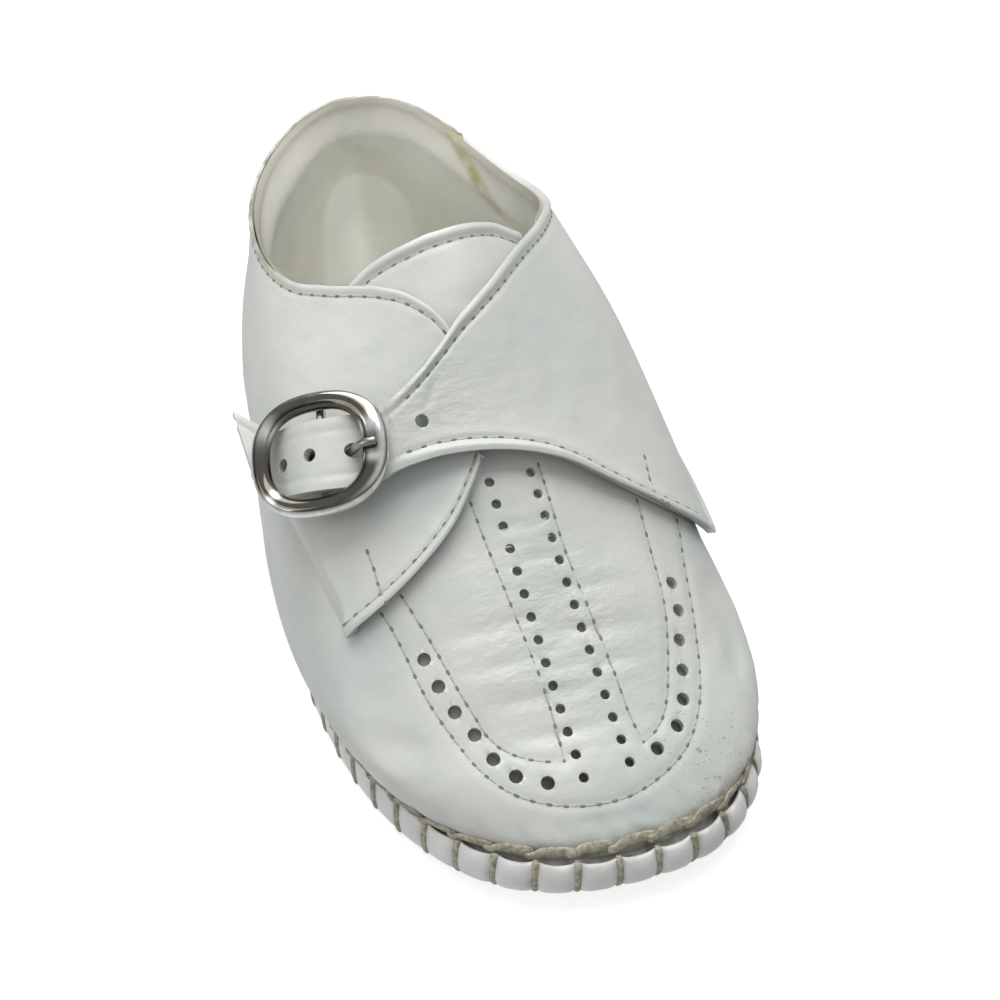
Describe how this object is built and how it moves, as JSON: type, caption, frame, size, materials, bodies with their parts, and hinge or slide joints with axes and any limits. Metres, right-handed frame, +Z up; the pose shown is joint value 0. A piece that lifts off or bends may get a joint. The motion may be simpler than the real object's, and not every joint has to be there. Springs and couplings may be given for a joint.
{
  "type": "first walker shoe",
  "caption": "Infant's first walker shoe for the right foot: white leather with punched vamp, crossing strap with a buckle, open collar and stitched flat sole.",
  "frame": {"origin": "middle of the shoe's length and width, on the floor under the sole", "axes": "+Z up from the floor, -Y to the toe, +Y to the heel, +X to the medial (inner) side"},
  "size_m": [0.0612, 0.1276, 0.0521],
  "materials": {
    "sole_leather": "matte off-white leather with tan thread",
    "lining_leather": "matte grey-beige lining",
    "white_leather": "smooth semi-gloss white",
    "chrome": "bright plated metal"
  },
  "bodies": {
    "root": {"sole": "sole_leather", "insole": "lining_leather", "upper": "white_leather", "tongue": "white_leather", "quarter_lateral": "white_leather", "quarter_medial": "white_leather", "buckle_chape": "white_leather", "buckle_frame": "chrome", "buckle_prong": "chrome"}
  },
  "joints": []
}
